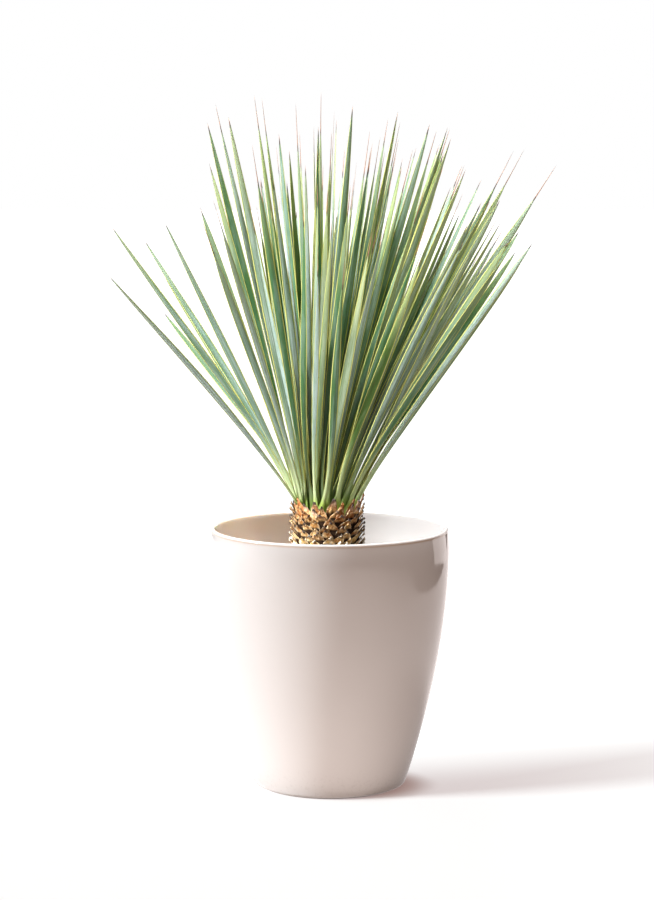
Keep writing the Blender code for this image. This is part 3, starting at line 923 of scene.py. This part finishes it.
def rule_leaf(number):
    """Turn, age from 0 to 1, tip and facing of one leaf of the spiral, the youngest first."""
    draw = random.Random(LEAF_SEED + number)
    age = math.sqrt((number + 0.5) / RULE_LEAVES)
    turn = number * GOLDEN_ANGLE + draw.uniform(-TURN_JITTER, TURN_JITTER)
    spread = age * draw.uniform(LEAST_SPREAD, MOST_SPREAD)
    side = math.tan(HEAD_LEAN + SIDE_SPREAD * spread * math.cos(turn))
    back = math.tan(BACK_SPREAD * spread * math.sin(turn))
    reach = INNER_LEAF + (OUTER_LEAF - INNER_LEAF) * age ** 2
    reach *= 1.0 + draw.uniform(-LENGTH_JITTER, LENGTH_JITTER)
    tip = Vector((TRUNK_X, 0.0, TRUNK_TOP)) + Vector((side, back, 1.0)).normalized() * reach
    return turn, age, tip, draw.uniform(0.0, RULE_FACING)


def edge_leaf(tip):
    """The same for a leaf whose tip is given."""
    offset = Vector(tip) - Vector((TRUNK_X, 0.0, TRUNK_TOP))
    side = (math.atan2(offset.x, offset.z) - HEAD_LEAN) / SIDE_SPREAD
    back = math.atan2(offset.y, offset.z) / BACK_SPREAD
    return math.atan2(back, side), min(1.0, math.hypot(side, back)), Vector(tip), EDGE_FACING


def leaf_course(turn, age, tip):
    """The four points of the curve that a leaf's middle line follows."""
    radius = LEAF_RING_RADIUS * age
    rise = LEAF_RING_RISE + LEAF_DOME_RISE * math.sqrt(1.0 - age ** 2)
    base = Vector((TRUNK_X + radius * math.cos(turn), radius * math.sin(turn), SEAT + rise))
    chord = tip - base
    length = chord.length
    chord.normalize()
    upright = (chord + Vector((0, 0, UPRIGHT_START))).normalized()
    lean = math.hypot(chord.x, chord.y)
    first = base + upright * FIRST_HANDLE * length
    second = base + chord * SECOND_HANDLE * length + Vector((0, 0, BOW * lean * length))
    return base, first, second, tip


def course_point(course, share):
    """A point of the leaf's curve, with its slight sway between foot and tip."""
    rest = 1.0 - share
    base, first, second, tip = course[:4]
    place = (base * rest ** 3 + first * 3 * share * rest ** 2
             + second * 3 * share ** 2 * rest + tip * share ** 3)
    for sway, waves in course[4:]:
        place += sway * math.sin(math.pi * waves * share) * math.sin(math.pi / 2 * rest)
    return place


def blade_face(course, turn, facing, share):
    """The direction ahead along a blade, and the way its outer face looks there."""
    ahead = course_point(course, share + 0.01) - course_point(course, share - 0.01)
    ahead.normalize()
    out = Vector((math.cos(turn), math.sin(turn), 0.0))
    out = (out - ahead * out.dot(ahead)).normalized()
    best = (BEST_SIDE - ahead * BEST_SIDE.dot(ahead)).normalized()
    angle = math.remainder(math.atan2(out.cross(best).dot(ahead), out.dot(best)), math.pi)
    angle *= facing * math.sin(math.pi / 2 * min(1.0, share / FACING_DONE))
    return ahead, Matrix.Rotation(angle, 3, ahead) @ out


leaves = [rule_leaf(number) for number in range(RULE_LEAVES)]
leaves += [edge_leaf(tip) for tip in STRAY_TIPS + EDGE_TIPS]
print(f"crown: {len(leaves)} leaves")

# %% [markdown]
# ### One leaf
#
# A blade is flat on the side that faces the middle of the plant and has a blunt keel on the other.
# It is narrow at the foot, widest two thirds of the way up, and drawn out to a hard spine. We sweep
# a section of twelve points along the curve and change its width and depth as we go. The two points
# next to each edge keep a thin margin, which the material paints yellow.
#
# The leaves are gathered in twelve pieces, every twelfth leaf of the spiral in each. Each side of
# a leaf gets a long strip of its own on the map that colours are baked to, so that the fine lines
# stay sharp.

# %% Sweep the blades
START_TWIST = 0.25
END_TWIST = 0.87
BLADE_WIDTH = 0.0106
LEAST_WIDTH = 0.72
MOST_WIDTH = 1.14
BLADE_THICK = 0.0016
FOOT_DEPTH = 0.0015
LEAF_GROUPS = 12
BLADE_OUTLINE = ((0.0, 0.90), (0.03, 0.78), (0.07, 0.62), (0.12, 0.52), (0.20, 0.50), (0.30, 0.58),
                 (0.40, 0.76), (0.50, 0.92), (0.57, 1.0), (0.63, 0.99), (0.70, 0.89), (0.76, 0.76),
                 (0.82, 0.61), (0.87, 0.47), (0.91, 0.33), (0.935, 0.22), (0.95, 0.13), (0.97, 0.08),
                 (1.0, 0.035))
EDGE_OUTLINE = ((0.0, 0.90), (0.03, 0.78), (0.07, 0.62), (0.12, 0.52), (0.20, 0.52), (0.30, 0.62),
                (0.40, 0.76), (0.50, 0.88), (0.60, 0.97), (0.70, 1.0), (0.78, 0.95), (0.84, 0.84),
                (0.89, 0.64), (0.92, 0.45), (0.94, 0.27), (0.95, 0.14), (0.97, 0.08), (1.0, 0.03))
BLADE_END = 0.95
BLADE_DEPTH = ((0.0, 2.4), (0.05, 1.9), (0.10, 1.5), (0.35, 0.95), (0.80, 0.72), (0.95, 0.45),
               (1.0, 0.10))
SECTION = ((-1.0, 0.0), (-0.93, -0.13), (-0.78, -0.19), (-0.12, -0.22), (0.12, -0.22),
           (0.78, -0.19), (0.93, -0.13), (1.0, 0.0), (0.93, 0.13), (0.78, 0.24), (0.12, 0.34),
           (-0.12, 0.34), (-0.78, 0.24), (-0.93, 0.13))
BLADE_STATIONS = [0.0, 0.02] + [station / 26 for station in range(1, 22)] + [
    0.835, 0.86, 0.885, 0.905, 0.925, 0.94, 0.955, 0.97, 0.985]
MARGIN_CORNERS = len(SECTION) // 2
FOLD = 0.13
SWAY = 0.0090
WAVE = 0.0030
SHORT_SPINE = 0.022
LONG_SPINE = 0.115
BLUNT_SHARE = 0.40
STRAY_SPINE = 0.012
STRAY_TONES = (0.98, 0.40, 0.50, 0.52, 0.10, 0.22)
THREAD = 0.10


def sweep_leaf(number):
    """Rings of one blade with its numbers, and its tip."""
    turn, age, tip, facing = leaves[number]
    draw = random.Random(LEAF_SEED * 2 + number)
    width = BLADE_WIDTH * draw.uniform(LEAST_WIDTH, MOST_WIDTH)
    start_twist = draw.uniform(-START_TWIST, START_TWIST)
    twist = draw.uniform(-END_TWIST, END_TWIST)
    tone, hue = draw.random(), draw.random()
    fold = FOLD * draw.uniform(0.1, 1.6)
    spine = SHORT_SPINE
    if draw.random() > BLUNT_SHARE:
        spine = draw.uniform(0.5, 1.0) * LONG_SPINE
    stray = RULE_LEAVES <= number < RULE_LEAVES + len(STRAY_TIPS)
    edge = number >= RULE_LEAVES + len(STRAY_TIPS)
    if stray:
        twist *= 0.7
        width *= 0.88
        tone, hue = STRAY_TONES[number - RULE_LEAVES], 0.30 + 0.35 * hue
    if edge:
        twist *= 0.4
        width *= 0.98
        hue = 0.35 + 0.45 * hue
    if stray or tip.x > 0.18 and edge:
        spine = THREAD if tip.x > 0.2 and tip.z > 0.73 else STRAY_SPINE
    course = list(leaf_course(turn, age, tip))
    chord = (tip - course[0]).normalized()
    across_way = chord.cross(Vector((math.cos(turn), math.sin(turn), 0.0))).normalized()
    for size, waves in ((SWAY, 1), (WAVE, 2)):
        way = Matrix.Rotation(draw.uniform(-0.9, 0.9), 3, chord) @ across_way
        course.append((way * draw.uniform(-size, size) * (0.6 if edge else 1.0), waves))
    foot = Vector((course[0].x, course[0].y, SEAT - FOOT_DEPTH))
    rings = []
    walked = 0.0
    before = foot
    for share in [-0.05] + BLADE_STATIONS:
        place = course_point(course, share) if share >= 0.0 else foot
        ahead, face = blade_face(course, turn, facing, max(0.0, share))
        walked += (place - before).length
        before = place.copy()
        face = Matrix.Rotation(start_twist + twist * share, 3, ahead) @ face
        blade = share * BLADE_END / (1.0 - spine)
        if share > 1.0 - spine:
            blade = 1.0 - (1.0 - share) / spine * (1.0 - BLADE_END)
        spread = width * along(EDGE_OUTLINE if edge and tip.z < 0.76 else BLADE_OUTLINE, blade)
        side = ahead.cross(face) * spread / 2
        depth = face * BLADE_THICK * along(BLADE_DEPTH, blade)
        bend = face * fold * spread / 2
        rings.append(([place + side * across + depth * deep - bend * (abs(across) - 0.5)
                       for across, deep in SECTION], walked))
    length = walked + (tip - before).length
    return rings, tip, length, {"age": age, "tone": tone, "hue": hue}, length * (1.0 - spine)


def strip_place(cell, share, across):
    """Where a corner lies on the baked map: along its strip, and across it."""
    rows = 2 * math.ceil(len(leaves) / LEAF_GROUPS)
    return 0.01 + 0.98 * share, (cell + 0.10 + 0.80 * (across + 1.0) / 2.0) / rows


def make_leaves(group, material):
    """Every leaf of one group as one piece."""
    points, faces, corners = [], [], []
    numbers = {"across": [], "rise": [], "left": [], "tone": [], "hue": [], "age": []}

    def add_point(place, across, rise, blade_length, facts):
        points.append(tuple(place))
        for label, value in (("across", across), ("rise", rise), ("left", blade_length - rise),
                             *facts.items()):
            numbers[label].append(value)

    count = len(SECTION)
    for cell, number in enumerate(range(group, len(leaves), LEAF_GROUPS)):
        rings, tip, length, facts, blade_length = sweep_leaf(number)
        first = len(points)
        for ring, walked in rings:
            for place, (across, deep) in zip(ring, SECTION):
                add_point(place, across, walked, blade_length, facts)
        add_point(tip, 0.0, length, blade_length, facts)
        shares = [walked / length for ring, walked in rings] + [1.0]
        for step in range(len(rings)):
            low = first + step * count
            for corner in range(count):
                after = (corner + 1) % count
                strip = 2 * cell + (corner >= MARGIN_CORNERS)
                here, there = SECTION[corner][0], SECTION[after][0]
                if step < len(rings) - 1:
                    faces.append((low + corner, low + after, low + count + after,
                                  low + count + corner))
                    corners.append((strip_place(strip, shares[step], here),
                                    strip_place(strip, shares[step], there),
                                    strip_place(strip, shares[step + 1], there),
                                    strip_place(strip, shares[step + 1], here)))
                else:
                    faces.append((low + corner, low + after, low + count))
                    corners.append((strip_place(strip, shares[step], here),
                                    strip_place(strip, shares[step], there),
                                    strip_place(strip, 1.0, 0.0)))
    piece = add_piece(f"leaves_{group + 1:02d}", points, faces, material, numbers)
    layer = piece.data.uv_layers.new(name="OFBake")
    for face, spots in zip(piece.data.polygons, corners):
        for loop, spot in zip(face.loop_indices, spots):
            layer.data[loop].uv = spot
    return piece

# %% [markdown]
# ### Their finish
#
# The blades have a waxy bloom that makes them blue-green, and it hides the plain green under it.
# They are lime at the foot, where the next leaf shaded them, and end in a red-brown spine with a
# dark spot where it starts. The margin is a thin yellow line. Fine ribs run the whole length. Each
# leaf also has its own tone, so that the head doesn't look printed. Darker green is painted shade:
# low down on the inner leaves, in a line beside each margin and along the edges of each foot.

# %% Finish the leaves
def leaf_finish():
    """Waxy blue-green blades."""
    finish = Finish("blue_green_leaf", roughness=0.5, specular=0.2)
    across, rise, left = (finish.number(label) for label in ("across", "rise", "left"))
    tone, hue, age = (finish.number(label) for label in ("tone", "hue", "age"))
    seed = finish.math("MULTIPLY", tone, 90.0)
    ribs = finish.noise(finish.vector(finish.math("MULTIPLY", across, 4.2),
                                      finish.math("MULTIPLY", rise, 5.0), seed), 1.5, detail=3.0)
    bloom = finish.noise(finish.vector(finish.math("MULTIPLY", across, 0.8),
                                       finish.math("MULTIPLY", rise, 16.0), seed), 1.0, detail=4.0)
    worn = finish.noise(finish.vector(finish.math("MULTIPLY", across, 2.4),
                                      finish.math("MULTIPLY", rise, 90.0), seed), 1.0, detail=5.0)
    olive = finish.span(hue, 0.55, 1.0)
    bare = finish.mix(olive, (0.070, 0.190, 0.085), (0.085, 0.180, 0.030))
    waxed = finish.mix(olive, (0.54, 0.66, 0.68), (0.56, 0.65, 0.48))
    share = finish.math("ADD", finish.span(bloom, 0.3, 0.7, 0.15, 0.6),
                        finish.math("MULTIPLY", finish.math("SUBTRACT", tone, 0.4), 0.95))
    body = finish.mix(finish.math("MINIMUM", finish.math("MAXIMUM", share, 0.0), 1.0), bare, waxed)
    rubbed = finish.math("MULTIPLY", finish.span(worn, 0.55, 0.66), finish.span(tone, 0.45, 0.8))
    body = finish.mix(finish.math("MULTIPLY", rubbed, 0.4), body, (0.22, 0.36, 0.13))
    body = finish.mix(finish.span(ribs, 0.42, 0.62, 0.0, 0.52), body, (0.10, 0.18, 0.055))
    end = finish.math("MULTIPLY", finish.span(left, 0.13, 0.03), finish.span(hue, 0.2, 0.9, 0.0, 0.6))
    body = finish.mix(end, body, (0.54, 0.61, 0.30))
    foot = finish.span(rise, 0.12, 0.035)
    body = finish.mix(finish.math("MULTIPLY", foot, 0.85), body, (0.68, 0.78, 0.43))
    lowest = finish.span(rise, 0.034, 0.016)
    body = finish.mix(lowest, body, (0.42, 0.55, 0.12))
    # Painted shade: the inner leaves are painted dark green low down, where little light gets in.
    inner = finish.math("MULTIPLY", finish.span(age, 0.98, 0.80), finish.span(rise, 0.27, 0.06))
    body = finish.mix(finish.math("MULTIPLY", inner, 0.80), body, (0.030, 0.060, 0.015))
    wide = finish.math("ABSOLUTE", across)
    # Painted shade: a dark green line beside each margin, above the foot.
    edge_shade = finish.math("MULTIPLY", finish.span(wide, 0.60, 0.76), finish.span(rise, 0.03, 0.10))
    body = finish.mix(finish.math("MULTIPLY", edge_shade, 0.66), body, (0.11, 0.19, 0.04))
    # Painted shade: dark green along the edges of each leaf's foot, between the feet.
    foot_edge_shade = finish.math("MULTIPLY", finish.span(wide, 0.50, 0.95), finish.span(rise, 0.13, 0.05))
    body = finish.mix(finish.math("MULTIPLY", foot_edge_shade, 0.60), body, (0.085, 0.140, 0.035))
    margin = finish.math("MULTIPLY", finish.span(wide, 0.80, 0.86), finish.span(rise, 0.02, 0.06))
    body = finish.mix(finish.math("MULTIPLY", margin, 0.92), body, (0.80, 0.76, 0.25))
    speck = finish.noise(finish.vector(finish.math("MULTIPLY", across, 3.0),
                                       finish.math("MULTIPLY", rise, 200.0), seed), 1.0, detail=1.0)
    body = finish.mix(finish.span(speck, 0.74, 0.78, 0.0, 0.7), body, (0.20, 0.12, 0.04))
    spine = finish.span(left, 0.0015, -0.0015)
    body = finish.mix(spine, body, (0.50, 0.25, 0.16))
    spot = finish.math("MULTIPLY", finish.span(left, 0.005, 0.001), finish.span(left, -0.007, -0.002))
    spot = finish.math("MULTIPLY", spot, finish.span(hue, 0.3, 0.8, 0.9, 0.5))
    finish.colour(finish.mix(spot, body, (0.050, 0.020, 0.018)))
    finish.roughness(finish.span(bloom, 0.3, 0.7, 0.40, 0.58))
    finish.bump(ribs, 0.00015)
    return finish.material


def heart_finish():
    """The crown's middle, in the shade between the feet of the leaves."""
    finish = Finish("crown_heart", roughness=0.8, specular=0.2)
    cloud = finish.noise(finish.place(), 160.0, detail=4.0)
    finish.colour(finish.mix(cloud, (0.020, 0.030, 0.008), (0.075, 0.100, 0.022)))
    finish.bump(cloud, 0.0008)
    return finish.material


dome = [(0.0, SEAT), (HEART_RADIUS, SEAT)]
for step in range(13):
    bend = math.pi / 2 * step / 12
    dome.append((HEART_RADIUS * math.cos(bend) if step < 12 else 0.0,
                 SEAT + HEART_SIDE + HEART_RISE * math.sin(bend)))
heart = make_core("crown_heart", dome, heart_finish())
green = leaf_finish()
crown_pieces = [heart] + [make_leaves(group, green) for group in range(LEAF_GROUPS)]
for piece in crown_pieces:
    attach(piece, "root")
    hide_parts("crown")

plant = bpy.data.collections.new("lit_by_leaf_lamp")
for piece in crown_pieces + trunk_pieces:
    plant.objects.link(piece)
leaf_lamp = add_sun("leaf_lamp", math.radians(-63.0), math.radians(39.0), 7.8, math.radians(7.0),
                    (0.97, 1.0, 0.98))
leaf_fill = add_sun("leaf_fill", math.radians(35.0), math.radians(20.0), 0.95, math.radians(110.0),
                    (0.55, 1.0, 0.38))
leaf_lamp.light_linking.receiver_collection = plant
for lamp in (leaf_lamp, leaf_fill):
    lamp.data.cycles.use_multiple_importance_sampling = False
crown_set = bpy.data.collections.new("lit_by_leaf_fill")
for piece in crown_pieces:
    crown_set.objects.link(piece)
leaf_fill.light_linking.receiver_collection = crown_set
trunk_lamp = add_sun("trunk_lamp", math.radians(-48.0), math.radians(26.0), 4.6, math.radians(4.0),
                     (1.0, 0.97, 0.92))
trunk_set = bpy.data.collections.new("lit_by_trunk_lamp")
for piece in trunk_pieces:
    trunk_set.objects.link(piece)
trunk_lamp.light_linking.receiver_collection = trunk_set
trunk_shade = bpy.data.collections.new("shades_the_trunk")
for piece in trunk_pieces:
    trunk_shade.objects.link(piece)
trunk_lamp.light_linking.blocker_collection = trunk_shade
shell = bpy.data.collections.new("shades_the_pot")
for piece in [pot, bed, crumbs, core]:
    shell.objects.link(piece)
sun.light_linking.blocker_collection = shell
floor_lamp = add_sun("floor_lamp", FLOOR_SUN_AZIMUTH, FLOOR_SUN_HEIGHT, FLOOR_SUN_STRENGTH,
                     math.radians(15.0), (1.0, 0.99, 0.985))
floor_set = bpy.data.collections.new("lit_by_floor_lamp")
floor_set.objects.link(floor)
floor_lamp.light_linking.receiver_collection = floor_set
floor_lamp.light_linking.blocker_collection = shell
rest_set = bpy.data.collections.new("lit_by_sun")
for piece in scene.collection.all_objects:
    if piece.type == "MESH" and piece is not floor and piece not in crown_pieces:
        rest_set.objects.link(piece)
sun.light_linking.receiver_collection = rest_set
pot_set = bpy.data.collections.new("lit_by_soft_box")
pot_set.objects.link(pot)
above.light_linking.receiver_collection = pot_set
above.light_linking.blocker_collection = shell
bounce.light_linking.receiver_collection = pot_set
bounce.light_linking.blocker_collection = pot_set
triangles = sum(len(face.vertices) - 2 for piece in crown_pieces for face in piece.data.polygons)
print(f"crown: {triangles} triangles in {len(crown_pieces)} pieces")

# %% [markdown]
# ## The size
#
# The dressed plant is made to fill the same box as the plain solids; both boxes are printed.

# %% Print both boxes
dressed_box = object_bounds()
for label, (low, high) in (("solids", solid_box), ("dressed", dressed_box)):
    print(label, [round((high[axis] - low[axis]) * 1000, 1) for axis in range(3)], "mm")
